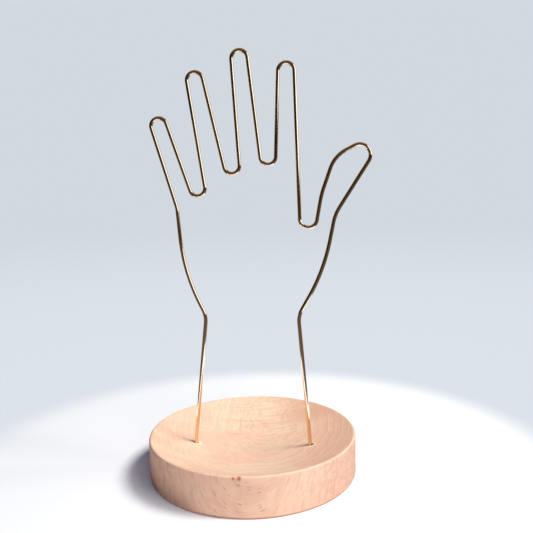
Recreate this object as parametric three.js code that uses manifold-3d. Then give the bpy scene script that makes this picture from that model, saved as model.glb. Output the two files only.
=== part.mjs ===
// A hand-shaped jewelry stand. One length of wire is bent into the outline of an open hand, and its two ends
// plug into sockets drilled in a turned wooden dish. Millimetres, +Z up, with the origin at the middle of the
// dish's underside. The hand stands upright in the XZ plane, thumb towards +X.

import * as THREE from 'three';
import { mergeVertices } from 'three/addons/utils/BufferGeometryUtils.js';
import Module from 'manifold-3d';

// Wooden base
const BASE_DIAMETER = 130;
const BASE_THICKNESS = 25;
const DISH_DEPTH = 12.5;
const RIM_ROUND = 1.2;
const FOOT_ROUND = 1;

// Sockets in the dish, each as deep as this below the dish's surface
const SOCKET_SPACING = 73;
const SOCKET_DEPTH = 9;
const SOCKET_CLEARANCE = 0.3;
const DRILL_POINT_ANGLE = 118;

// Wire, with every radius taken at its centreline
const WIRE_DIAMETER = 2.4;
const FINGERTIP_RADIUS = 4.8;
const WEB_RADIUS = 4.7;
const THUMB_WEB_RADIUS = 5.2;
const THUMB_TIP_RADIUS = 6.4;
const THUMB_PAD_RADIUS = 19;
const THUMB_BACK_RADIUS = 50;
const THUMB_ROOT_RADIUS = 28;
const KNUCKLE_RADIUS = 20;
const PALM_RADIUS = 120;
const WRIST_RADIUS = 16;
const ANKLE_RADIUS = 40;
const ANKLE_RISE = 2.5;

// Corners of the arm and palm: X across from the base's axis, Z up from its rim
const WRIST_Z = 75;
const LITTLE_WRIST_X = -27;
const THUMB_WRIST_X = 30.5;
const LITTLE_PALM_X = -40;
const LITTLE_PALM_Z = 101;
const THUMB_PALM_X = 46.5;
const THUMB_PALM_Z = 103;
const LITTLE_KNUCKLE_X = -42.5;
const LITTLE_KNUCKLE_Z = 142;

// Middles of the bends at the fingertips
const LITTLE_TIP_X = -51.5;
const LITTLE_TIP_Z = 191.5;
const RING_TIP_X = -28.5;
const RING_TIP_Z = 217.5;
const MIDDLE_TIP_X = -1.5;
const MIDDLE_TIP_Z = 229;
const INDEX_TIP_X = 25.8;
const INDEX_TIP_Z = 221;

// Middles of the bends in the webs between the fingers
const RING_WEB_X = -29.5;
const RING_WEB_Z = 154;
const MIDDLE_WEB_X = -8;
const MIDDLE_WEB_Z = 167;
const INDEX_WEB_X = 14;
const INDEX_WEB_Z = 172;
const THUMB_WEB_X = 37.5;
const THUMB_WEB_Z = 134.5;

// The thumb: middle of its tip, and the corners of its back, pad and root
const THUMB_TIP_X = 68;
const THUMB_TIP_Z = 171.5;
const THUMB_BACK_X = 45.5;
const THUMB_BACK_Z = 149;
const THUMB_PAD_X = 53.5;
const THUMB_PAD_Z = 171.5;
const THUMB_ROOT_X = 53.5;
const THUMB_ROOT_Z = 137;

// Facets
const TURNED_SIDES = 96;
const DISH_STEPS = 10;
const RIM_STEPS = 6;
const FOOT_STEPS = 3;
const SOCKET_SIDES = 24;
const WIRE_SIDES = 12;
const CHORD_ERROR = 0.04;

const wasm = await Module();
wasm.setup();

const baseRadius = BASE_DIAMETER / 2;
const socketRadius = WIRE_DIAMETER / 2 + SOCKET_CLEARANCE;
const socketX = SOCKET_SPACING / 2;

// The dish is part of a ball that rolls smoothly over into the rim's round.
const rimCentreX = baseRadius - RIM_ROUND;
const rimCentreZ = BASE_THICKNESS - RIM_ROUND;
const dishRise = DISH_DEPTH - RIM_ROUND;
const dishRadius = (rimCentreX ** 2 + dishRise ** 2 - RIM_ROUND ** 2) / (2 * DISH_DEPTH);
const dishCentreZ = BASE_THICKNESS - DISH_DEPTH + dishRadius;
const dishHalfAngle = Math.atan2(rimCentreX, dishCentreZ - rimCentreZ);

const socketMouthZ = dishCentreZ - Math.sqrt(dishRadius ** 2 - socketX ** 2);
const socketFloorZ = socketMouthZ - SOCKET_DEPTH;

function arc(x, y, radius, from, to, steps) {
  return new THREE.EllipseCurve(x, y, radius, radius, from, to, to < from).getPoints(steps);
}

// A closed mesh without degenerate faces, as a solid that can be cut
function toSolid(geometry) {
  const bare = geometry.clone();
  bare.deleteAttribute('normal');
  bare.deleteAttribute('uv');
  const merged = mergeVertices(bare);
  const index = merged.index.array;
  const triangles = [];
  for (let i = 0; i < index.length; i += 3) {
    const [a, b, c] = index.slice(i, i + 3);
    if (a !== b && b !== c && c !== a) triangles.push(a, b, c);
  }
  return new wasm.Manifold(new wasm.Mesh({
    numProp: 3,
    vertProperties: new Float32Array(merged.attributes.position.array),
    triVerts: new Uint32Array(triangles),
  }));
}

function toGeometry(solid) {
  const mesh = solid.getMesh();
  const geometry = new THREE.BufferGeometry();
  geometry.setAttribute('position', new THREE.BufferAttribute(mesh.vertProperties, 3));
  geometry.setIndex(new THREE.BufferAttribute(mesh.triVerts, 1));
  geometry.computeVertexNormals();
  return geometry;
}

// A profile of [distance from the axis, height] turned about Z
function turned(profile, sides) {
  return new THREE.LatheGeometry(profile, sides).rotateX(Math.PI / 2);
}

// The turned dish: a flat underside, a rounded foot, a straight wall, a rounded rim and the hollow
function dishBlank() {
  const down = -Math.PI / 2;
  const profile = [
    new THREE.Vector2(0, 0),
    ...arc(baseRadius - FOOT_ROUND, FOOT_ROUND, FOOT_ROUND, down, 0, FOOT_STEPS),
    ...arc(rimCentreX, rimCentreZ, RIM_ROUND, 0, Math.PI / 2 + dishHalfAngle, RIM_STEPS),
    ...arc(0, dishCentreZ, dishRadius, down + dishHalfAngle, down, DISH_STEPS).slice(1),
  ];
  profile.at(-1).x = 0;
  return turned(profile, TURNED_SIDES);
}

// What the drill takes out: a straight hole with a cone at its end
function drilledHole(x) {
  const point = socketRadius / Math.tan(THREE.MathUtils.degToRad(DRILL_POINT_ANGLE / 2));
  const profile = [
    new THREE.Vector2(0, socketFloorZ - point),
    new THREE.Vector2(socketRadius, socketFloorZ),
    new THREE.Vector2(socketRadius, BASE_THICKNESS),
    new THREE.Vector2(0, BASE_THICKNESS),
  ];
  return turned(profile, SOCKET_SIDES).translate(x, 0, 0);
}

function woodenBase() {
  let base = toSolid(dishBlank());
  for (const side of [-1, 1]) base = base.subtract(toSolid(drilledHole(side * socketX)));
  const beech = new THREE.MeshStandardMaterial({ color: 0xe2b893, roughness: 0.55, metalness: 0 });
  const mesh = new THREE.Mesh(toGeometry(base), beech);
  mesh.name = 'wooden_base';
  return mesh;
}

// The wire's route is a chain of its two ends, corners that are softened by a bend, and loops that carry it
// round a pin, to the left or to the right of the way it runs.
const LEFT = 1;
const RIGHT = -1;

function end(x, z) {
  return { at: new THREE.Vector2(x, z), wrap: 0 };
}

function bend(x, z, radius) {
  return { at: new THREE.Vector2(x, z), wrap: 0, radius };
}

function loop(x, z, radius, side) {
  return { at: new THREE.Vector2(x, z), wrap: side * radius, radius, side };
}

function handRoute() {
  const mouth = socketMouthZ - BASE_THICKNESS;
  const foot = socketFloorZ + SOCKET_CLEARANCE - BASE_THICKNESS;
  return [
    end(-socketX, foot),
    bend(-socketX, mouth + ANKLE_RISE, ANKLE_RADIUS),
    bend(LITTLE_WRIST_X, WRIST_Z, WRIST_RADIUS),
    bend(LITTLE_PALM_X, LITTLE_PALM_Z, PALM_RADIUS),
    bend(LITTLE_KNUCKLE_X, LITTLE_KNUCKLE_Z, KNUCKLE_RADIUS),
    loop(LITTLE_TIP_X, LITTLE_TIP_Z, FINGERTIP_RADIUS, RIGHT),
    loop(RING_WEB_X, RING_WEB_Z, WEB_RADIUS, LEFT),
    loop(RING_TIP_X, RING_TIP_Z, FINGERTIP_RADIUS, RIGHT),
    loop(MIDDLE_WEB_X, MIDDLE_WEB_Z, WEB_RADIUS, LEFT),
    loop(MIDDLE_TIP_X, MIDDLE_TIP_Z, FINGERTIP_RADIUS, RIGHT),
    loop(INDEX_WEB_X, INDEX_WEB_Z, WEB_RADIUS, LEFT),
    loop(INDEX_TIP_X, INDEX_TIP_Z, FINGERTIP_RADIUS, RIGHT),
    loop(THUMB_WEB_X, THUMB_WEB_Z, THUMB_WEB_RADIUS, LEFT),
    bend(THUMB_BACK_X, THUMB_BACK_Z, THUMB_BACK_RADIUS),
    bend(THUMB_PAD_X, THUMB_PAD_Z, THUMB_PAD_RADIUS),
    loop(THUMB_TIP_X, THUMB_TIP_Z, THUMB_TIP_RADIUS, RIGHT),
    bend(THUMB_ROOT_X, THUMB_ROOT_Z, THUMB_ROOT_RADIUS),
    bend(THUMB_PALM_X, THUMB_PALM_Z, PALM_RADIUS),
    bend(THUMB_WRIST_X, WRIST_Z, WRIST_RADIUS),
    bend(socketX, mouth + ANKLE_RISE, ANKLE_RADIUS),
    end(socketX, foot),
  ];
}

const along = (heading) => new THREE.Vector2(Math.cos(heading), Math.sin(heading));
const rightOf = (heading) => new THREE.Vector2(Math.sin(heading), -Math.cos(heading));

// The straight run between two neighbours on the route, touching the pins of both
function straightBetween(a, b) {
  const across = b.at.clone().sub(a.at);
  const distance = across.length();
  const heading = across.angle() + Math.asin((a.wrap - b.wrap) / distance);
  const from = a.at.clone().addScaledVector(rightOf(heading), a.wrap);
  const to = b.at.clone().addScaledVector(rightOf(heading), b.wrap);
  return { heading, from, length: from.distanceTo(to) };
}

// How far the wire turns at a place: a corner the short way, a loop the way that its side says
function turnAt(place, before, after) {
  const full = 2 * Math.PI;
  const turn = after.heading - before.heading;
  if (place.side) return place.side * THREE.MathUtils.euclideanModulo(place.side * turn, full);
  return THREE.MathUtils.euclideanModulo(turn + Math.PI, full) - Math.PI;
}

// How much of each straight beside a corner its bend takes up
function reachOf(place, turn) {
  return place.radius && !place.side ? place.radius * Math.tan(Math.abs(turn) / 2) : 0;
}

// The arc at a place, by its centre and signed radius: a loop's own pin, or a bend tucked into its corner
function arcAt(place, heading, turn, room) {
  if (place.side) return { centre: place.at, wrap: place.wrap };
  const wrap = Math.sign(turn) * place.radius * room;
  const centre = place.at.clone();
  centre.addScaledVector(along(heading), -reachOf(place, turn) * room);
  centre.addScaledVector(rightOf(heading), -wrap);
  return { centre, wrap };
}

// Points and headings along the wire's centreline: close together in the bends, none between them
function centreline(route) {
  const straights = route.slice(1).map((place, i) => straightBetween(route[i], place));
  const turns = route.map((place, i) => (place.radius ? turnAt(place, straights[i - 1], straights[i]) : 0));

  // Two bends that meet on a short straight share its length.
  const reach = route.map((place, i) => reachOf(place, turns[i]));
  const room = straights.map((straight, i) => Math.min(1, straight.length / (reach[i] + reach[i + 1])));

  const stations = [{ point: route[0].at, heading: straights[0].heading }];
  for (let i = 1; i < route.length - 1; i++) {
    const { heading } = straights[i - 1];
    const { centre, wrap } = arcAt(route[i], heading, turns[i], Math.min(room[i - 1], room[i]));
    const widestStep = 2 * Math.acos(1 - CHORD_ERROR / Math.abs(wrap));
    const steps = Math.ceil(Math.abs(turns[i]) / widestStep);
    for (let k = 0; k <= steps; k++) {
      const now = heading + (turns[i] * k) / steps;
      stations.push({ point: centre.clone().addScaledVector(rightOf(now), wrap), heading: now });
    }
  }
  stations.push({ point: route.at(-1).at, heading: straights.at(-1).heading });
  return stations;
}

// A curve that steps from station to station, so that a sweep puts its sections there and nowhere else
class BentWire extends THREE.Curve {
  constructor(stations) {
    super();
    this.stations = stations;
  }

  stationAt(t) {
    return this.stations[Math.round(t * (this.stations.length - 1))];
  }

  getPoint(t, target = new THREE.Vector3()) {
    const { point } = this.stationAt(t);
    return target.set(point.x, 0, point.y);
  }

  getTangent(t, target = new THREE.Vector3()) {
    const direction = along(this.stationAt(t).heading);
    return target.set(direction.x, 0, direction.y);
  }

  getUtoTmapping(u) {
    return u;
  }
}

function wireHand() {
  const stations = centreline(handRoute());
  const section = new THREE.Shape().absarc(0, 0, WIRE_DIAMETER / 2, 0, 2 * Math.PI);
  const wire = new THREE.ExtrudeGeometry(section, {
    extrudePath: new BentWire(stations),
    steps: stations.length - 1,
    curveSegments: WIRE_SIDES / 2,
    bevelEnabled: false,
  });
  const brass = new THREE.MeshStandardMaterial({ color: 0xd8a862, roughness: 0.18, metalness: 1 });
  const mesh = new THREE.Mesh(wire, brass);
  mesh.name = 'wire_hand';
  return mesh;
}

const stand = new THREE.Group();
const hand = new THREE.Group();
hand.position.z = BASE_THICKNESS;
hand.add(wireHand());
stand.add(woodenBase(), hand);

export default stand;
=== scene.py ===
"""A hand-shaped jewelry stand: a bent brass wire hand plugs into a turned beech dish. Metres, +Z up."""

import math
from collections import namedtuple

import bmesh
import bpy
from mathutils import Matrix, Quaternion, Vector


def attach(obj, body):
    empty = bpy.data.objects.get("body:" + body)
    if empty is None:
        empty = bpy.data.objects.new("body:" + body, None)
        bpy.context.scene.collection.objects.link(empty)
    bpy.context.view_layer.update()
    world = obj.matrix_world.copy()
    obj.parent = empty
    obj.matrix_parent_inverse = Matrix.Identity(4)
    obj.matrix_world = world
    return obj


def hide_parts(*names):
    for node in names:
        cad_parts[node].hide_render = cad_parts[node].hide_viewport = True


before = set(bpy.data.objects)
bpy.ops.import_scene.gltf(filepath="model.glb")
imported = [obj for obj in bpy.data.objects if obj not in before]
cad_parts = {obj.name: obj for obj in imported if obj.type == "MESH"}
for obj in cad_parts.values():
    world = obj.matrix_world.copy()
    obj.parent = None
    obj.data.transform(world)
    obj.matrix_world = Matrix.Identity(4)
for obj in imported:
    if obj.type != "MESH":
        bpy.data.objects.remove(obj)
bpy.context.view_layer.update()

scene = bpy.context.scene
scene.view_settings.view_transform = "Standard"

# Camera
# The stand is seen from about the height of its thumb's tip, looking slightly down, and from a few degrees
# to the thumb's side. The camera leans slightly about its own axis.
EYE = Vector((0.0589, -0.4192, 0.1982))
LOOK_ALONG = Vector((-0.1109, 0.9812, -0.1581))
LEAN = math.radians(-1.409)
SENSOR_WIDTH = 36
FOCAL_LENGTH = 47.28
NEAREST = 0.01

lens = bpy.data.cameras.new("camera")
lens.sensor_width = SENSOR_WIDTH
lens.lens = FOCAL_LENGTH
lens.clip_start = NEAREST
camera = bpy.data.objects.new("camera", lens)
camera.rotation_mode = "QUATERNION"
camera.location = EYE
camera.rotation_quaternion = LOOK_ALONG.to_track_quat("-Z", "Y") @ Quaternion((0, 0, 1), LEAN)
scene.collection.objects.link(camera)
scene.camera = camera

# Floor and paper
# A white floor lies under the stand and fades into pale grey-blue paper all round. The floor takes the
# stand's shadow, and the paper glows by itself. The world shows the same paper and adds a faint warm light.
FLOOR_RADIUS = 6.0
FLOOR_SIDES = 96
WHITE_REACH = 0.17
FADE_REACH = 0.215
PAPER_REACH = 1.6
FLOOR_WHITE = (0.94, 0.94, 0.94, 1)
FLOOR_GLOW = (0.042, 0.053, 0.094, 1)
PAPER_NEAR = (0.72, 0.765, 0.82, 1)
PAPER_FAR = (0.64, 0.69, 0.745, 1)
AMBIENT = (1.05, 0.97, 0.92, 1)
AMBIENT_STRENGTH = 0.05


def add_node(tree, kind, inputs=None, **settings):
    made = tree.nodes.new(kind)
    for name, value in settings.items():
        setattr(made, name, value)
    for name, value in (inputs or {}).items():
        if isinstance(value, bpy.types.NodeSocket):
            tree.links.new(value, made.inputs[name])
        else:
            made.inputs[name].default_value = value
    return made


def maths(tree, operation, a, b=0.0):
    return add_node(tree, "ShaderNodeMath", {0: a, 1: b}, operation=operation).outputs["Value"]


def ramp(tree, value, start, stop, low=0.0, high=1.0, shape="SMOOTHSTEP"):
    # goes from low to high as the value goes from start to stop
    ends = {"Value": value, "From Min": start, "From Max": stop, "To Min": low, "To Max": high}
    return add_node(tree, "ShaderNodeMapRange", ends, interpolation_type=shape).outputs["Result"]


def blend(tree, share, a, b):
    # a Mix node keeps its colours in sockets 6 and 7
    return add_node(tree, "ShaderNodeMix", {0: share, 6: a, 7: b}, data_type="RGBA").outputs[2]


def new_finish(name):
    finish = bpy.data.materials.new(name)
    finish.use_nodes = True
    finish.node_tree.nodes.clear()
    return finish, finish.node_tree


def add_piece(name, bm, finish):
    mesh = bpy.data.meshes.new(name)
    bm.to_mesh(mesh)
    bm.free()
    mesh.materials.append(finish)
    piece = bpy.data.objects.new(name, mesh)
    scene.collection.objects.link(piece)
    return piece


floor_finish, tree = new_finish("floor_white")
place = add_node(tree, "ShaderNodeTexCoord").outputs["Object"]
reach = add_node(tree, "ShaderNodeVectorMath", {0: place}, operation="LENGTH").outputs["Value"]
white = add_node(tree, "ShaderNodeBsdfDiffuse", {"Color": FLOOR_WHITE}).outputs["BSDF"]
glow = add_node(tree, "ShaderNodeEmission", {"Color": FLOOR_GLOW}).outputs["Emission"]
white = add_node(tree, "ShaderNodeAddShader", {0: white, 1: glow}).outputs["Shader"]
paper_tone = blend(tree, ramp(tree, reach, FADE_REACH, PAPER_REACH), PAPER_NEAR, PAPER_FAR)
paper = add_node(tree, "ShaderNodeEmission", {"Color": paper_tone}).outputs["Emission"]
fade = ramp(tree, reach, WHITE_REACH, FADE_REACH)
surface = add_node(tree, "ShaderNodeMixShader", {0: fade, 1: white, 2: paper}).outputs["Shader"]
add_node(tree, "ShaderNodeOutputMaterial", {"Surface": surface})
bm = bmesh.new()
bmesh.ops.create_circle(bm, cap_ends=True, segments=FLOOR_SIDES, radius=FLOOR_RADIUS)
floor = add_piece("floor", bm, floor_finish)

world = bpy.data.worlds.new("paper_surround")
scene.world = world
world.use_nodes = True
tree = world.node_tree
tree.nodes.clear()
light_path = add_node(tree, "ShaderNodeLightPath").outputs
seen = maths(tree, "MAXIMUM", light_path["Is Camera Ray"], light_path["Is Glossy Ray"])
seen = maths(tree, "MAXIMUM", seen, light_path["Is Transmission Ray"])
backdrop = add_node(tree, "ShaderNodeBackground", {"Color": PAPER_FAR}).outputs["Background"]
ambient = add_node(tree, "ShaderNodeBackground", {"Color": AMBIENT, "Strength": AMBIENT_STRENGTH})
ambient = ambient.outputs["Background"]
surround = add_node(tree, "ShaderNodeMixShader", {0: seen, 1: ambient, 2: backdrop}).outputs["Shader"]
add_node(tree, "ShaderNodeOutputWorld", {"Surface": surround})

# Lamps
# A wide lamp and a smaller key lamp hang high on the thumb's side, and a low lamp stands in front.
# None of them shows in the picture or in the wire's polish.
LAMP_DISTANCE = 2.4


def add_lamp(name, direction, watts, **settings):
    light = bpy.data.lights.new(name, "AREA")
    light.energy = watts
    for setting, value in settings.items():
        setattr(light, setting, value)
    lamp = bpy.data.objects.new(name, light)
    lamp.rotation_mode = "QUATERNION"
    lamp.location = Vector(direction).normalized() * LAMP_DISTANCE
    lamp.rotation_quaternion = (-lamp.location).to_track_quat("-Z", "Y")
    lamp.visible_camera = False
    lamp.visible_glossy = False
    scene.collection.objects.link(lamp)


add_lamp("high_lamp", (0.560, -0.125, 0.819), watts=42.0, shape="RECTANGLE", size=2.2, size_y=0.7)
add_lamp("key_lamp", (0.573, -0.030, 0.819), watts=31.0, shape="DISK", size=0.75)
add_lamp("low_lamp", (0.398, -0.894, 0.208), watts=15.8, shape="DISK", size=0.8)

# Cards
# Studio cards give the polished wire something to reflect, and light nothing else: a dark dome, a dark
# ground outside the white floor, a bright card on the thumb's side, and two bright cards on the floor.
CARD_DISTANCE = 3.0
DOME_SIDES = 48
DOME_RINGS = 24
CARD_REACH = 0.175
CARD_SIDES = 64
CARD_LIFT = 0.0005
GROUND_REACH = 5.4
GROUND_RISE = 0.25
NEAR_FLOOR_EDGE = -0.066
FAR_FLOOR_EDGE = -0.12
CARD_BROWN = (1.0, 0.82, 0.72, 1)
CARD_BLUE = (0.66, 0.82, 1.10, 1)
DARK_GLOW = 0.008
GROUND_GLOW = 0.04
BRIGHT_GLOW = 2.4

# where the dome's dark and bright cards end, as shares of its radius
CARD_TURN = 0.58
DARK_BACK = 0.92
DARK_FOOT = 0.02
BRIGHT_BACK = 0.05
BRIGHT_FOOT = 0.07
BRIGHT_TOP = 0.75

# further glows: along which axis, where each starts and where it is full, and how strong it is there
DARK_GLOWS = (("Y", 0, -3.0, 0.020), ("Y", 1.5, 2.5, 0.9), ("Z", 1.4, 2.7, 0.25))
GROUND_GLOWS = (("Z", 0.05, 0.004, 0.11), ("Y", 0.15, 0.6, 0.6))

polished_pieces = bpy.data.collections.new("polished_pieces")


def card_finish(name, colour, strength, glows=()):
    finish, tree = new_finish(name)
    place = add_node(tree, "ShaderNodeTexCoord").outputs["Object"]
    axes = add_node(tree, "ShaderNodeSeparateXYZ", {0: place}).outputs
    for axis, start, stop, more in glows:
        strength = maths(tree, "ADD", ramp(tree, axes[axis], start, stop, 0.0, more, "LINEAR"), strength)
    glow = add_node(tree, "ShaderNodeEmission", {"Color": colour, "Strength": strength}).outputs["Emission"]
    add_node(tree, "ShaderNodeOutputMaterial", {"Surface": glow})
    return finish


def cut_off(bm, place, outwards):
    # takes away all that lies past a flat cut
    bmesh.ops.bisect_plane(bm, geom=bm.verts[:] + bm.edges[:] + bm.faces[:], plane_co=place,
                           plane_no=outwards, clear_outer=True)


def add_card(name, bm, finish):
    card = add_piece(name, bm, finish)
    card.visible_camera = False
    card.visible_diffuse = False
    card.visible_shadow = False
    card.light_linking.receiver_collection = polished_pieces


def add_domed_card(name, finish, cuts):
    # part of a ball round the stand
    bm = bmesh.new()
    bmesh.ops.create_uvsphere(bm, u_segments=DOME_SIDES, v_segments=DOME_RINGS, radius=CARD_DISTANCE)
    for share, outwards in cuts:
        cut_off(bm, Vector(outwards) * share * CARD_DISTANCE, outwards)
    add_card(name, bm, finish)


dark_finish = card_finish("dark_card", CARD_BROWN, DARK_GLOW, DARK_GLOWS)
add_domed_card("dark_card", dark_finish,
               ((CARD_TURN, (1, 0, 0)), (DARK_BACK, (0, 1, 0)), (-DARK_FOOT, (0, 0, -1))))

ground_finish = card_finish("ground_card", CARD_BROWN, GROUND_GLOW, GROUND_GLOWS)
bm = bmesh.new()
bmesh.ops.create_circle(bm, segments=CARD_SIDES, radius=GROUND_REACH)
bmesh.ops.translate(bm, verts=bm.verts[:], vec=(0, 0, GROUND_RISE))
bmesh.ops.create_circle(bm, segments=CARD_SIDES, radius=CARD_REACH)
bmesh.ops.bridge_loops(bm, edges=bm.edges[:])
bmesh.ops.translate(bm, verts=bm.verts[:], vec=(0, 0, 2 * CARD_LIFT))
add_card("ground_card", bm, ground_finish)

bright_finish = card_finish("bright_card", CARD_BLUE, BRIGHT_GLOW)
add_domed_card("bright_card", bright_finish,
               ((-CARD_TURN, (-1, 0, 0)), (BRIGHT_BACK, (0, 1, 0)),
                (-BRIGHT_FOOT, (0, 0, -1)), (BRIGHT_TOP, (0, 0, 1))))

for name, cut_at, outwards in (("bright_floor_card", NEAR_FLOOR_EDGE, (-1, 0, 0)),
                               ("far_floor_card", FAR_FLOOR_EDGE, (1, 0, 0))):
    bm = bmesh.new()
    bmesh.ops.create_circle(bm, cap_ends=True, segments=CARD_SIDES, radius=CARD_REACH)
    cut_off(bm, (cut_at, 0, 0), outwards)
    bmesh.ops.translate(bm, verts=bm.verts[:], vec=(0, 0, CARD_LIFT))
    add_card(name, bm, bright_finish)

# Flag
# A strip of black paper lies just above the floor, round the base's shaded side, and takes the floor's
# bounce off the wall. It is black on one face and clear on the other, doesn't show, and throws no shadow.
FLAG_NEAR = 0.067
FLAG_FAR = 0.075
FLAG_LIFT = 0.0008
FLAG_FROM = math.radians(-110)
FLAG_TO = math.radians(-25)
FLAG_STEPS = 16
FLAG_BLACK = (0.02, 0.02, 0.02, 1)

flag_finish, tree = new_finish("flag_black")
black = add_node(tree, "ShaderNodeBsdfDiffuse", {"Color": FLAG_BLACK}).outputs["BSDF"]
other_face = add_node(tree, "ShaderNodeNewGeometry").outputs["Backfacing"]
clear = add_node(tree, "ShaderNodeBsdfTransparent").outputs["BSDF"]
surface = add_node(tree, "ShaderNodeMixShader", {0: other_face, 1: black, 2: clear}).outputs["Shader"]
add_node(tree, "ShaderNodeOutputMaterial", {"Surface": surface})
bm = bmesh.new()
flag_end = []
for radius in (FLAG_NEAR, FLAG_FAR):
    corner = (radius * math.sin(FLAG_FROM), -radius * math.cos(FLAG_FROM), FLAG_LIFT)
    flag_end += bmesh.ops.create_vert(bm, co=corner)["vert"]
flag_end.append(bm.edges.new(flag_end))
bmesh.ops.spin(bm, geom=flag_end, cent=(0, 0, 0), axis=(0, 0, 1), angle=FLAG_TO - FLAG_FROM,
               steps=FLAG_STEPS)
flag = add_piece("flag", bm, flag_finish)
flag.visible_camera = False
flag.visible_glossy = False
flag.visible_shadow = False

# Turned wooden base
# A disc of pale beech, turned on a lathe, with a flat underside, an eased foot, a straight wall, a rounded
# rim and a shallow dish. Two holes drilled straight down in the dish take the wire's ends, and each is worn
# wide on its outer side.
BASE_RADIUS = 0.065
BASE_HEIGHT = 0.025
DISH_DEPTH = 0.0125
RIM_ROUND = 0.0012
FOOT_ROUND = 0.001
HOLE_X = 0.0365
HOLE_RADIUS = 0.0015
HOLE_DEPTH = 0.009
HOLE_EASE = 0.0004
WORN_RADIUS = 0.0013
WORN_OFFSET = 0.0013
DRILL_POINT = math.radians(59)
QUARTER = math.pi / 2
TURNED_STEPS = 192
FOOT_STEPS = 6
RIM_STEPS = 10
DISH_STEPS = 48
DRILL_STEPS = 48
WORN_SIDES = 32
WOOD_CREASE = math.radians(35)
SAME_PLACE = 1e-6
SLIVER = 1e-7

rim_x = BASE_RADIUS - RIM_ROUND
rim_z = BASE_HEIGHT - RIM_ROUND
dish_radius = (rim_x ** 2 + (DISH_DEPTH - RIM_ROUND) ** 2 - RIM_ROUND ** 2) / (2 * DISH_DEPTH)
dish_bottom = BASE_HEIGHT - DISH_DEPTH
dish_z = dish_bottom + dish_radius
dish_angle = math.atan2(rim_x, dish_z - rim_z)
hole_mouth = dish_z - math.sqrt(dish_radius ** 2 - HOLE_X ** 2)
hole_floor = hole_mouth - HOLE_DEPTH
drill_top = hole_mouth + 3 * HOLE_EASE

# Beech: the grain runs across the dish. Its growth layers are almost level and cupped, so the dish cuts
# them into long rings about a middle near its back. Rays are thin upright ribbons: flecks, mostly in the
# rings' middle, dashes on the wall's front and back, and upright lines across the layers of its end grain.
GRAIN_TURN = math.radians(-6.4)
RAY_LEAN = math.radians(15)
STREAK_LEAN = math.radians(7)
LAYER_LEAN = math.radians(-4)
LAYER = 0.0013
LAYER_CURVE = 0.23
LAYER_RISE = 0.06
LAYER_WARP = 1.7
RING_MIDDLE = Vector((0.008, 0.042, dish_bottom))
PINK_TAN = (0.95, 0.625, 0.46, 1)
YELLOW_TAN = (0.97, 0.715, 0.52, 1)
# painted shade: a redder tint on the dish's thumb's side, which faces away from the lamps
SHADE_BLUSH = (0.98, 0.54, 0.39, 1)
# end grain tones: darker than the open face, and as painted shade redder on the shaded side than on the lit
# thumb's side
SHADED_SIDE_END = (0.86, 0.45, 0.37, 1)
LIT_SIDE_END = (0.64, 0.42, 0.345, 1)
END_BROWN = (0.36, 0.17, 0.10, 1)
# painted shade: a dark line round the foot, where the base meets the floor
FOOT_SHADE_BROWN = (0.42, 0.13, 0.07, 1)
# painted highlight: a pale ring round each hole, shifted to its lit side
HOLE_HIGHLIGHT = (0.97, 0.84, 0.64, 1)
# the brown of the growth layers, also used for painted shade on the low wall and at the back of the dish
LAYER_AND_SHADE_BROWN = (0.70, 0.40, 0.265, 1)
FLECK_BROWN = (0.60, 0.32, 0.20, 1)
DASH_BROWN = (0.46, 0.15, 0.07, 1)
KNOT_BROWN = (0.50, 0.11, 0.06, 1)

# how large each pattern is along the grain, upright and across it
MOTTLE_SIZE = (0.045, 0.012, 0.022)
WARP_SIZE = (0.045, 0.014, 0.030)
BREAK_SIZE = (0.004, 0.003, 0.006)
PATCH_SIZE = (0.028, 0.028, 0.028)
FIBRE_SIZE = (0.012, 0.0009, 0.0006)
STREAK_SIZE = (0.030, 0.014, 0.0010)
FLECK_SIZE = (0.0075, 0.009, 0.00045)
GROVE_SIZE = (0.030, 0.020, 0.016)
DASH_SIZE = (0.0062, 0.010, 0.00048)
SANDED_SIZE = (0.004, 0.0004, 0.0004)

# at which values of its noise each pattern starts and is full, and how strong it is at both
MOTTLE_SHOWN = (0.35, 0.65)
BREAK_SHOWN = (0.40, 0.60)
PATCH_SHOWN = (0.38, 0.62, 0.3, 1.0)
FIBRE_SHOWN = (0.50, 0.80, 0.0, 0.30)
END_STREAK_SHOWN = (0.52, 0.70, 0.0, 0.30)
STREAK_SHOWN = (0.46, 0.70, 0.0, 0.38)
GROVE_SHOWN = (0.30, 0.55)

# where in each growth layer its late wood darkens, and where it stops
LATE_DARKENS = (0.3, 0.85)
LATE_STOPS = (1.0, 0.88)

# a ray's edge and dark core, as shares of its cell, the share of the cells that hold one, and its strength
FLECK_RAY = (0.38, 0.10, 0.7)
FLECK_STRENGTH = 0.45
DASH_RAY = (0.28, 0.15, 0.55)
DASH_STRENGTH = 0.6
RAY_CHANCE_FADE = 0.3

# which faces are which, by how far their normals point up, and how far along Y
WALL_UP = (0.9, 0.3)
OPEN_UP = (0.3, 0.9, 0.55, 1.0)
END_WALL_Y = (0.92, 0.60)
END_TINT_Y = (0.97, 0.45, 0.3, 0.8)
DASHED_Y = (0.78, 0.985, 0.08, 1.0)

# where each change of tone starts and is full, and how strong it is at both
# painted shade: the end grain goes from redder on the shaded side to less red on the lit thumb's side
END_SHADE_X = (-0.9 * BASE_RADIUS, 0.9 * BASE_RADIUS)
THUMB_SIDE_X = (0.015, 0.050)
# painted shade: the back of the dish on the thumb's side, which faces away from the lamps, is darker
THUMB_BACK_SHADE_X = (0.005, 0.035)
THUMB_BACK_SHADE_Y = (0.015, 0.045, 0.0, 0.60)
# painted shade: the wall browner towards the foot, more so low on the thumb's side
LOW_WALL_SHADE_Z = (0.022, 0.002, 0.08, 0.22)
LOW_THUMB_WALL_SHADE_Z = (0.016, 0.002, 0.0, 0.20)
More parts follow.
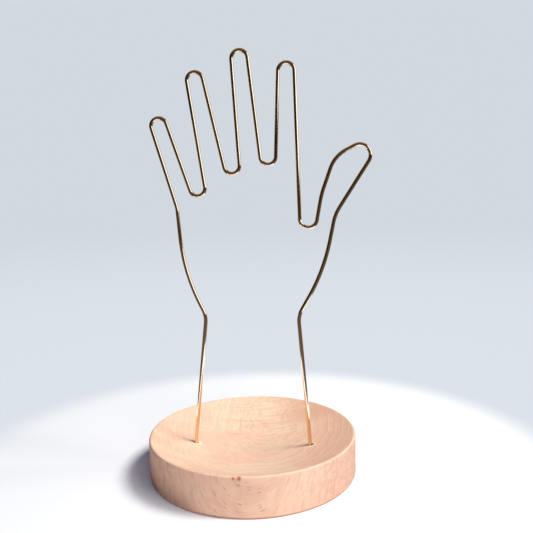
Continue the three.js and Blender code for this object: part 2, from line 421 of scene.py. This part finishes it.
# painted shade: a dark line round the foot, where the base meets the floor
FOOT_SHADE_Z = (1.6 * FOOT_ROUND, 0.5 * FOOT_ROUND, 0.0, 0.75)
RING_REACH = (0.016, 0.040, 0.25, 1.0)
BUSY_REACH = (0.015, 0.045, 1.3, 0.3)
# painted highlight: a pale ring round each hole, shifted to its lit side
HOLE_HIGHLIGHT_REACH = (0.0036, 0.0020, 0.0, 0.8)
HOLE_HIGHLIGHT_SHIFT = Vector((0.0010, -0.0006, 0))
# painted shade: a redder tint on the dish's thumb's side, which faces away from the lamps
SHADE_BLUSH_STRENGTH = 0.30
# the layers show more strongly on the thumb's side: partly grain, partly painted shade on that side of the
# dish
THUMB_SIDE_PATCHES = 0.4

# place and size of each small knot at the front of the rim, and its edge and core as shares of that size
KNOTS = (((-0.0024, -0.0649, 0.0240), 0.0012), ((0.0009, -0.0648, 0.0241), 0.0020))
KNOT_EDGE = 1.5
KNOT_CORE = 0.7
KNOT_STRENGTH = 0.85

# the sanded and lightly oiled surface
BEECH_ROUGHNESS = (0.3, 0.8, 0.46, 0.60)
BEECH_SPECULAR = 0.05
BEECH_BUMP = 0.10
BEECH_BUMP_DEPTH = 0.0002
SANDED_RELIEF = 0.6
FLECK_RELIEF = 0.5


def times(tree, a, b):
    return maths(tree, "MULTIPLY", a, b)


def blend_number(tree, share, a, b):
    # a Mix node keeps its numbers in sockets 2 and 3
    return add_node(tree, "ShaderNodeMix", {0: share, 2: a, 3: b}, data_type="FLOAT").outputs[0]


def distance(tree, a, b):
    return add_node(tree, "ShaderNodeVectorMath", {0: a, 1: b}, operation="DISTANCE").outputs["Value"]


def mapped(tree, vector, rotation=(0, 0, 0), scale=(1, 1, 1)):
    inputs = {"Vector": vector, "Rotation": rotation, "Scale": scale}
    return add_node(tree, "ShaderNodeMapping", inputs).outputs["Vector"]


def noise(tree, vector, detail=2.0, roughness=0.5):
    inputs = {"Vector": vector, "Scale": 1.0, "Detail": detail, "Roughness": roughness}
    return add_node(tree, "ShaderNodeTexNoise", inputs).outputs["Fac"]


def bumped(tree, height, strength, depth):
    inputs = {"Height": height, "Strength": strength, "Distance": depth}
    return add_node(tree, "ShaderNodeBump", inputs).outputs["Normal"]


def along_grain(tree, place, lean, size=(1, 1, 1)):
    # turns the place into the grain's own axes, then measures each in a length of its own
    along, upright, across = size
    turned = mapped(tree, place, rotation=(0, 0, GRAIN_TURN))
    leaning = mapped(tree, turned, rotation=(lean, 0, 0))
    return mapped(tree, leaning, scale=(1 / along, 1 / across, 1 / upright))


def grain_noise(tree, place, lean, size, detail=2.0, roughness=0.5):
    return noise(tree, along_grain(tree, place, lean, size), detail, roughness)


def rays(tree, place, size, edge, core, kept):
    # thin ribbons, one in each cell of a stretched pattern, with only some of the cells kept
    stretched = along_grain(tree, place, RAY_LEAN, size)
    cells = add_node(tree, "ShaderNodeTexVoronoi", {"Vector": stretched, "Scale": 1.0}).outputs
    ribbon = ramp(tree, cells["Distance"], core, edge, 1.0, 0.0)
    chance = add_node(tree, "ShaderNodeSeparateColor", {0: cells["Color"]}).outputs["Red"]
    return times(tree, ribbon, ramp(tree, chance, 1 - kept, 1 - kept + RAY_CHANCE_FADE))


def late_wood(tree, layers, pace):
    # a line in each growth layer, or several at a faster pace
    layer = maths(tree, "FRACT", times(tree, layers, pace))
    return times(tree, ramp(tree, layer, *LATE_DARKENS), ramp(tree, layer, *LATE_STOPS))


beech, tree = new_finish("beech")
place = add_node(tree, "ShaderNodeTexCoord").outputs["Object"]
at = add_node(tree, "ShaderNodeSeparateXYZ", {0: place}).outputs
geometry = add_node(tree, "ShaderNodeNewGeometry").outputs
normal = add_node(tree, "ShaderNodeSeparateXYZ", {0: geometry["Normal"]}).outputs
long_grain = maths(tree, "ABSOLUTE", normal["Y"])
wall = ramp(tree, normal["Z"], *WALL_UP)
end_wall = times(tree, wall, ramp(tree, long_grain, *END_WALL_Y))
open_face = ramp(tree, normal["Z"], *OPEN_UP)
thumb_side = ramp(tree, at["X"], *THUMB_SIDE_X)
from_middle = distance(tree, place, RING_MIDDLE)

# ground tones: tan patches and the end grain's darker tint; then painted shade: redder end grain on the
# shaded side, a darker low wall and foot line, and a darker back and redder tint on the dish's thumb's
# side, away from the lamps
mottle = grain_noise(tree, place, LAYER_LEAN, MOTTLE_SIZE)
wood = blend(tree, ramp(tree, mottle, *MOTTLE_SHOWN), PINK_TAN, YELLOW_TAN)
# painted shade: the end grain is redder on the shaded side and less red on the lit thumb's side
end_tint_and_shade = blend(tree, ramp(tree, at["X"], *END_SHADE_X), SHADED_SIDE_END, LIT_SIDE_END)
wood = blend(tree, times(tree, wall, ramp(tree, long_grain, *END_TINT_Y)), wood, end_tint_and_shade)
# painted shade: the wall grows browner towards the foot, more so low on the thumb's side
wood = blend(tree, times(tree, wall, ramp(tree, at["Z"], *LOW_WALL_SHADE_Z)), wood, LAYER_AND_SHADE_BROWN)
low_thumb_side_shade = times(tree, thumb_side, ramp(tree, at["Z"], *LOW_THUMB_WALL_SHADE_Z))
wood = blend(tree, times(tree, wall, low_thumb_side_shade), wood, LAYER_AND_SHADE_BROWN)
# painted shade: a dark line round the foot, where the base meets the floor
wood = blend(tree, ramp(tree, at["Z"], *FOOT_SHADE_Z), wood, FOOT_SHADE_BROWN)
# painted shade: the back of the dish on the thumb's side, which faces away from the lamps, is darker
thumb_back_shade = times(tree, ramp(tree, at["X"], *THUMB_BACK_SHADE_X), ramp(tree, at["Y"], *THUMB_BACK_SHADE_Y))
wood = blend(tree, times(tree, thumb_back_shade, open_face), wood, LAYER_AND_SHADE_BROWN)
# painted shade: a redder tint on the dish's thumb's side, which faces away from the lamps
shade_blushing = times(tree, thumb_side, ramp(tree, wall, 0.0, 1.0, SHADE_BLUSH_STRENGTH, 0.0))
wood = blend(tree, shade_blushing, wood, SHADE_BLUSH)

# growth layers, counted upwards from a cupped and slightly rising floor
grain_axes = add_node(tree, "ShaderNodeSeparateXYZ", {0: along_grain(tree, place, LAYER_LEAN)}).outputs
cupped = times(tree, maths(tree, "POWER", grain_axes["Y"], 2.0), 0.5 / LAYER_CURVE)
risen = times(tree, grain_axes["X"], LAYER_RISE)
layers = maths(tree, "SUBTRACT", maths(tree, "SUBTRACT", grain_axes["Z"], cupped), risen)
warp = grain_noise(tree, place, LAYER_LEAN, WARP_SIZE)
layers = maths(tree, "ADD", times(tree, layers, 1 / LAYER), times(tree, warp, LAYER_WARP))
broken = ramp(tree, grain_noise(tree, place, LAYER_LEAN, BREAK_SIZE, detail=1.0), *BREAK_SHOWN)
patchy = ramp(tree, grain_noise(tree, place, LAYER_LEAN, PATCH_SIZE, detail=1.0), *PATCH_SHOWN)
# the layers show more strongly on the thumb's side: partly grain, partly painted shade on that side of the
# dish
patchy = maths(tree, "ADD", patchy, times(tree, thumb_side, THUMB_SIDE_PATCHES))
patchy = times(tree, patchy, ramp(tree, from_middle, *RING_REACH))
# lines in each layer, how strong they are, and what thins them out
for pace, strength, shown in ((1.0, 0.18, patchy), (2.0, 0.16, patchy), (4.0, 0.34, broken)):
    late = times(tree, times(tree, late_wood(tree, layers, pace), open_face), shown)
    wood = blend(tree, times(tree, late, strength), wood, LAYER_AND_SHADE_BROWN)

# fibres, then layers and upright rays on the end grain, then streaks along the grain
# in the dish, fibres, streaks and flecks are busiest in the middle of the rings
busy = blend_number(tree, wall, ramp(tree, from_middle, *BUSY_REACH), 1.0)
fibre = grain_noise(tree, place, RAY_LEAN, FIBRE_SIZE, detail=3.0, roughness=0.6)
wood = blend(tree, times(tree, ramp(tree, fibre, *FIBRE_SHOWN), busy), wood, LAYER_AND_SHADE_BROWN)
for pace, strength in ((1.0, 0.30), (2.0, 0.20)):
    late = times(tree, times(tree, late_wood(tree, layers, pace), end_wall), broken)
    wood = blend(tree, times(tree, late, strength), wood, END_BROWN)
streak = grain_noise(tree, place, STREAK_LEAN, STREAK_SIZE)
wood = blend(tree, times(tree, ramp(tree, streak, *END_STREAK_SHOWN), end_wall), wood, END_BROWN)
wood = blend(tree, times(tree, ramp(tree, streak, *STREAK_SHOWN), busy), wood, LAYER_AND_SHADE_BROWN)

# flecks, and groves of dashes
fleck = rays(tree, place, FLECK_SIZE, *FLECK_RAY)
wood = blend(tree, times(tree, times(tree, fleck, FLECK_STRENGTH), busy), wood, FLECK_BROWN)
grove = ramp(tree, grain_noise(tree, place, RAY_LEAN, GROVE_SIZE, detail=1.0), *GROVE_SHOWN)
grove = times(tree, grove, ramp(tree, long_grain, *DASHED_Y))
dash = rays(tree, place, DASH_SIZE, *DASH_RAY)
wood = blend(tree, times(tree, times(tree, dash, grove), DASH_STRENGTH), wood, DASH_BROWN)

# painted highlights round the holes, shifted to their lit side, and the knots
for side in (-1, 1):
    from_hole = distance(tree, place, Vector((side * HOLE_X, 0, hole_mouth)) + HOLE_HIGHLIGHT_SHIFT)
    wood = blend(tree, ramp(tree, from_hole, *HOLE_HIGHLIGHT_REACH), wood, HOLE_HIGHLIGHT)
for knot, size in KNOTS:
    ragged = maths(tree, "ADD", distance(tree, place, knot), times(tree, fibre, size))
    knotted = ramp(tree, ragged, size * KNOT_EDGE, size * KNOT_CORE, 0.0, KNOT_STRENGTH)
    wood = blend(tree, knotted, wood, KNOT_BROWN)

sanded = grain_noise(tree, place, RAY_LEAN, SANDED_SIZE)
relief = maths(tree, "SUBTRACT", times(tree, sanded, SANDED_RELIEF), times(tree, fleck, FLECK_RELIEF))
bump = bumped(tree, relief, BEECH_BUMP, BEECH_BUMP_DEPTH)
roughness = ramp(tree, fibre, *BEECH_ROUGHNESS)
skin = {"Base Color": wood, "Roughness": roughness, "Normal": bump, "Specular IOR Level": BEECH_SPECULAR}
surface = add_node(tree, "ShaderNodeBsdfPrincipled", skin).outputs["BSDF"]
add_node(tree, "ShaderNodeOutputMaterial", {"Surface": surface})


def cut_along(bm, x, z):
    # the turning tool moves straight to a place on the profile
    last = bm.verts[-1]
    bmesh.ops.extrude_vert_indiv(bm, verts=[last])
    bm.verts.ensure_lookup_table()
    bm.verts[-1].co = (x, 0, z)


def cut_round(bm, x, z, angle, steps):
    # the turning tool swings about a centre on the profile, anticlockwise where the angle is positive
    last = bm.verts[-1]
    bmesh.ops.spin(bm, geom=[last], cent=(x, 0, z), axis=(0, -1, 0), angle=angle, steps=steps)
    bm.verts.ensure_lookup_table()


def turn_on_lathe(bm, steps):
    bmesh.ops.spin(bm, geom=bm.verts[:] + bm.edges[:], cent=(0, 0, 0), axis=(0, 0, 1),
                   angle=2 * math.pi, steps=steps, use_merge=True)
    bmesh.ops.remove_doubles(bm, verts=bm.verts[:], dist=SAME_PLACE)
    bmesh.ops.dissolve_degenerate(bm, dist=SLIVER, edges=bm.edges[:])
    bmesh.ops.recalc_face_normals(bm, faces=bm.faces[:])


bm = bmesh.new()
bmesh.ops.create_vert(bm, co=(0, 0, 0))
bm.verts.ensure_lookup_table()
cut_along(bm, BASE_RADIUS - FOOT_ROUND, 0)
cut_round(bm, BASE_RADIUS - FOOT_ROUND, FOOT_ROUND, QUARTER, FOOT_STEPS)
cut_along(bm, BASE_RADIUS, rim_z)
cut_round(bm, rim_x, rim_z, QUARTER + dish_angle, RIM_STEPS)
cut_round(bm, 0, dish_z, -dish_angle, DISH_STEPS)
turn_on_lathe(bm, TURNED_STEPS)
base = add_piece("turned_base", bm, beech)

drills = []
for side in (-1, 1):
    # the drill's point, its straight side, and a cone of 45 degrees that eases the hole's mouth
    bm = bmesh.new()
    bmesh.ops.create_vert(bm, co=(0, 0, hole_floor - HOLE_RADIUS / math.tan(DRILL_POINT)))
    bm.verts.ensure_lookup_table()
    cut_along(bm, HOLE_RADIUS, hole_floor)
    cut_along(bm, HOLE_RADIUS, hole_mouth - HOLE_EASE)
    cut_along(bm, HOLE_RADIUS + 4 * HOLE_EASE, drill_top)
    cut_along(bm, 0, drill_top)
    turn_on_lathe(bm, DRILL_STEPS)
    bmesh.ops.translate(bm, verts=bm.verts[:], vec=(side * HOLE_X, 0, 0))
    drills.append(add_piece("drill", bm, beech))
    # a second, slimmer cutter beside it for the worn side
    bm = bmesh.new()
    bmesh.ops.create_cone(bm, cap_ends=True, segments=WORN_SIDES, radius1=WORN_RADIUS, radius2=WORN_RADIUS,
                          depth=HOLE_DEPTH)
    bmesh.ops.translate(bm, verts=bm.verts[:], vec=(side * (HOLE_X + WORN_OFFSET), 0, hole_mouth))
    drills.append(add_piece("drill", bm, beech))
for drill in drills:
    cut = base.modifiers.new("drilled_hole", "BOOLEAN")
    cut.object = drill
    cut.solver = "EXACT"
drilled = bpy.data.meshes.new_from_object(base.evaluated_get(bpy.context.evaluated_depsgraph_get()))
base.modifiers.clear()
base.data = drilled
drilled.name = "turned_base"
for drill in drills:
    bpy.data.objects.remove(drill)
drilled.shade_smooth()
drilled.set_sharp_from_angle(angle=WOOD_CREASE)
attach(base, "base")
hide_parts("wooden_base")

# Bent wire hand
# One length of round brass wire, bent round pins into the outline of an open hand and polished.
# It starts in the hole on the little finger's side and ends in the other, with both ends cut and deburred.
WIRE_RADIUS = 0.00118
WIRE_SIDES = 32
WIRE_CREASE = math.radians(30)
BURR = 0.0003
CHORD_ERROR = 0.000006
SHORTEST_RUN = 1e-6
END_CLEARANCE = 0.0003
ANKLE_RISE = 0.0025
GOLD_DEEP = (0.85, 0.60, 0.35, 1)
GOLD_PALE = (0.89, 0.66, 0.42, 1)

# faint lines from drawing the wire, and clouds in its polish: waves per metre, and how they show
DRAWN_WAVES = (2600, 2600, 90)
DRAWN_ROUGHNESS = (0.55, 0.75, 0.0, 0.05)
DRAWN_BUMP = 0.02
DRAWN_BUMP_DEPTH = 0.00004
CLOUD_WAVES = (70, 70, 45)
CLOUD_SHOWN = (0.35, 0.65)
CLOUD_ROUGHNESS = (0.3, 0.7, 0.075, 0.105)

# radius of each bend
ANKLE = 0.040
WRIST = 0.016
PALM = 0.120
KNUCKLE = 0.020
FINGERTIP = 0.0048
WEB = 0.0047
THUMB_WEB = 0.0052
THUMB_BACK = 0.050
THUMB_PAD = 0.019
THUMB_TIP = 0.0064
THUMB_ROOT = 0.028

# the wire turns left or right round a pin, or only softens a corner
LEFT = 1
RIGHT = -1
SOFTENED = 0

wire_foot = hole_floor + END_CLEARANCE
ankle_z = hole_mouth + ANKLE_RISE

# pins and corners from one hole to the other: place, radius of the bend, and the side it turns to
Stop = namedtuple("Stop", "across height radius side")
ROUTE = (
    Stop(-HOLE_X, wire_foot, 0, SOFTENED),
    Stop(-HOLE_X, ankle_z, ANKLE, SOFTENED),
    Stop(-0.0270, 0.1000, WRIST, SOFTENED),
    Stop(-0.0400, 0.1260, PALM, SOFTENED),
    Stop(-0.0425, 0.1670, KNUCKLE, SOFTENED),
    Stop(-0.0515, 0.2165, FINGERTIP, RIGHT),
    Stop(-0.0295, 0.1790, WEB, LEFT),
    Stop(-0.0285, 0.2425, FINGERTIP, RIGHT),
    Stop(-0.0080, 0.1920, WEB, LEFT),
    Stop(-0.0015, 0.2540, FINGERTIP, RIGHT),
    Stop(0.0140, 0.1970, WEB, LEFT),
    Stop(0.0258, 0.2460, FINGERTIP, RIGHT),
    Stop(0.0375, 0.1595, THUMB_WEB, LEFT),
    Stop(0.0455, 0.1740, THUMB_BACK, SOFTENED),
    Stop(0.0535, 0.1965, THUMB_PAD, SOFTENED),
    Stop(0.0680, 0.1965, THUMB_TIP, RIGHT),
    Stop(0.0535, 0.1620, THUMB_ROOT, SOFTENED),
    Stop(0.0465, 0.1280, PALM, SOFTENED),
    Stop(0.0305, 0.1000, WRIST, SOFTENED),
    Stop(HOLE_X, ankle_z, ANKLE, SOFTENED),
    Stop(HOLE_X, wire_foot, 0, SOFTENED),
)


def onwards(heading):
    return Vector((math.cos(heading), 0, math.sin(heading)))


def rightwards(heading):
    return Vector((math.sin(heading), 0, -math.cos(heading)))


def straight_between(a, b):
    # heading and length of the straight that touches the pins of two neighbours on the route
    here = Vector((a.across, 0, a.height))
    there = Vector((b.across, 0, b.height))
    way = there - here
    heading = math.atan2(way.z, way.x) + math.asin((a.side * a.radius - b.side * b.radius) / way.length)
    start = here + rightwards(heading) * a.side * a.radius
    end = there + rightwards(heading) * b.side * b.radius
    return heading, (end - start).length


def turn_between(before, after, side):
    # the turn from one heading to the next, the given way round a pin or the short way at a softened corner
    turn = after - before
    if side == SOFTENED:
        return (turn + math.pi) % (2 * math.pi) - math.pi
    return side * ((side * turn) % (2 * math.pi))


def push_wire(bm, front, step):
    # lengthens the wire from its front ring of edges, and gives the new front ring
    made = bmesh.ops.extrude_edge_only(bm, edges=front)["geom"]
    bmesh.ops.translate(bm, verts=[g for g in made if isinstance(g, bmesh.types.BMVert)], vec=step)
    return [g for g in made if isinstance(g, bmesh.types.BMEdge) and all(v in made for v in g.verts)]


def swell_wire(front, factor):
    verts = list({v for e in front for v in e.verts})
    middle = sum((v.co for v in verts), Vector()) / len(verts)
    for v in verts:
        v.co = middle + (v.co - middle) * factor


straights = [straight_between(a, b) for a, b in zip(ROUTE, ROUTE[1:])]
headings, lengths = zip(*straights)
turns = [0.0]
for before, after, stop in zip(headings, headings[1:], ROUTE[1:]):
    turns.append(turn_between(before, after, stop.side))
turns.append(0.0)

# how far each softened bend reaches along its straights, and the share of it that they have room for
reaches = [0.0 if stop.side else stop.radius * math.tan(abs(turn) / 2) for stop, turn in zip(ROUTE, turns)]
rooms = []
for length, before, after in zip(lengths, reaches, reaches[1:]):
    rooms.append(min(1.0, length / max(before + after, SHORTEST_RUN)))
shares = [1.0] + [min(a, b) for a, b in zip(rooms, rooms[1:])] + [1.0]

bm = bmesh.new()
bmesh.ops.create_circle(bm, cap_ends=True, segments=WIRE_SIDES, radius=WIRE_RADIUS - BURR)
bmesh.ops.translate(bm, verts=bm.verts[:], vec=(-HOLE_X, 0, wire_foot))
front = push_wire(bm, bm.edges[:], (0, 0, BURR))
swell_wire(front, WIRE_RADIUS / (WIRE_RADIUS - BURR))
last = len(straights) - 1
for i, (heading, length) in enumerate(straights):
    bend_reach = reaches[i + 1] * shares[i + 1]
    run = length - reaches[i] * shares[i] - bend_reach
    if i in (0, last):
        run -= BURR
    if run > SHORTEST_RUN:
        front = push_wire(bm, front, onwards(heading) * run)
    if i == last:
        break
    stop = ROUTE[i + 1]
    turn = turns[i + 1]
    radius = stop.radius
    pin = Vector((stop.across, 0, stop.height))
    if stop.side == SOFTENED:
        radius *= shares[i + 1]
        pin -= onwards(heading) * bend_reach
        pin -= rightwards(heading) * math.copysign(radius, turn)
    steps = math.ceil(abs(turn) / (2 * math.acos(1 - CHORD_ERROR / radius)))
    made = bmesh.ops.spin(bm, geom=front, cent=pin, axis=(0, -1, 0), angle=turn, steps=steps)["geom_last"]
    front = [g for g in made if isinstance(g, bmesh.types.BMEdge)]
front = push_wire(bm, front, (0, 0, -BURR))
swell_wire(front, 1 - BURR / WIRE_RADIUS)
bmesh.ops.contextual_create(bm, geom=front)
bmesh.ops.recalc_face_normals(bm, faces=bm.faces[:])

brass, tree = new_finish("brass_wire")
place = add_node(tree, "ShaderNodeTexCoord").outputs["Object"]
drawn = noise(tree, mapped(tree, place, scale=DRAWN_WAVES))
cloud = noise(tree, mapped(tree, place, scale=CLOUD_WAVES))
gold = blend(tree, ramp(tree, cloud, *CLOUD_SHOWN), GOLD_DEEP, GOLD_PALE)
roughness = maths(tree, "ADD", ramp(tree, cloud, *CLOUD_ROUGHNESS), ramp(tree, drawn, *DRAWN_ROUGHNESS))
bump = bumped(tree, drawn, DRAWN_BUMP, DRAWN_BUMP_DEPTH)
skin = {"Base Color": gold, "Metallic": 1.0, "Roughness": roughness, "Normal": bump}
surface = add_node(tree, "ShaderNodeBsdfPrincipled", skin).outputs["BSDF"]
add_node(tree, "ShaderNodeOutputMaterial", {"Surface": surface})
hand = add_piece("bent_wire_hand", bm, brass)
hand.data.shade_smooth()
hand.data.set_sharp_from_angle(angle=WIRE_CREASE)
polished_pieces.objects.link(hand)
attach(hand, "hand")
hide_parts("wire_hand")
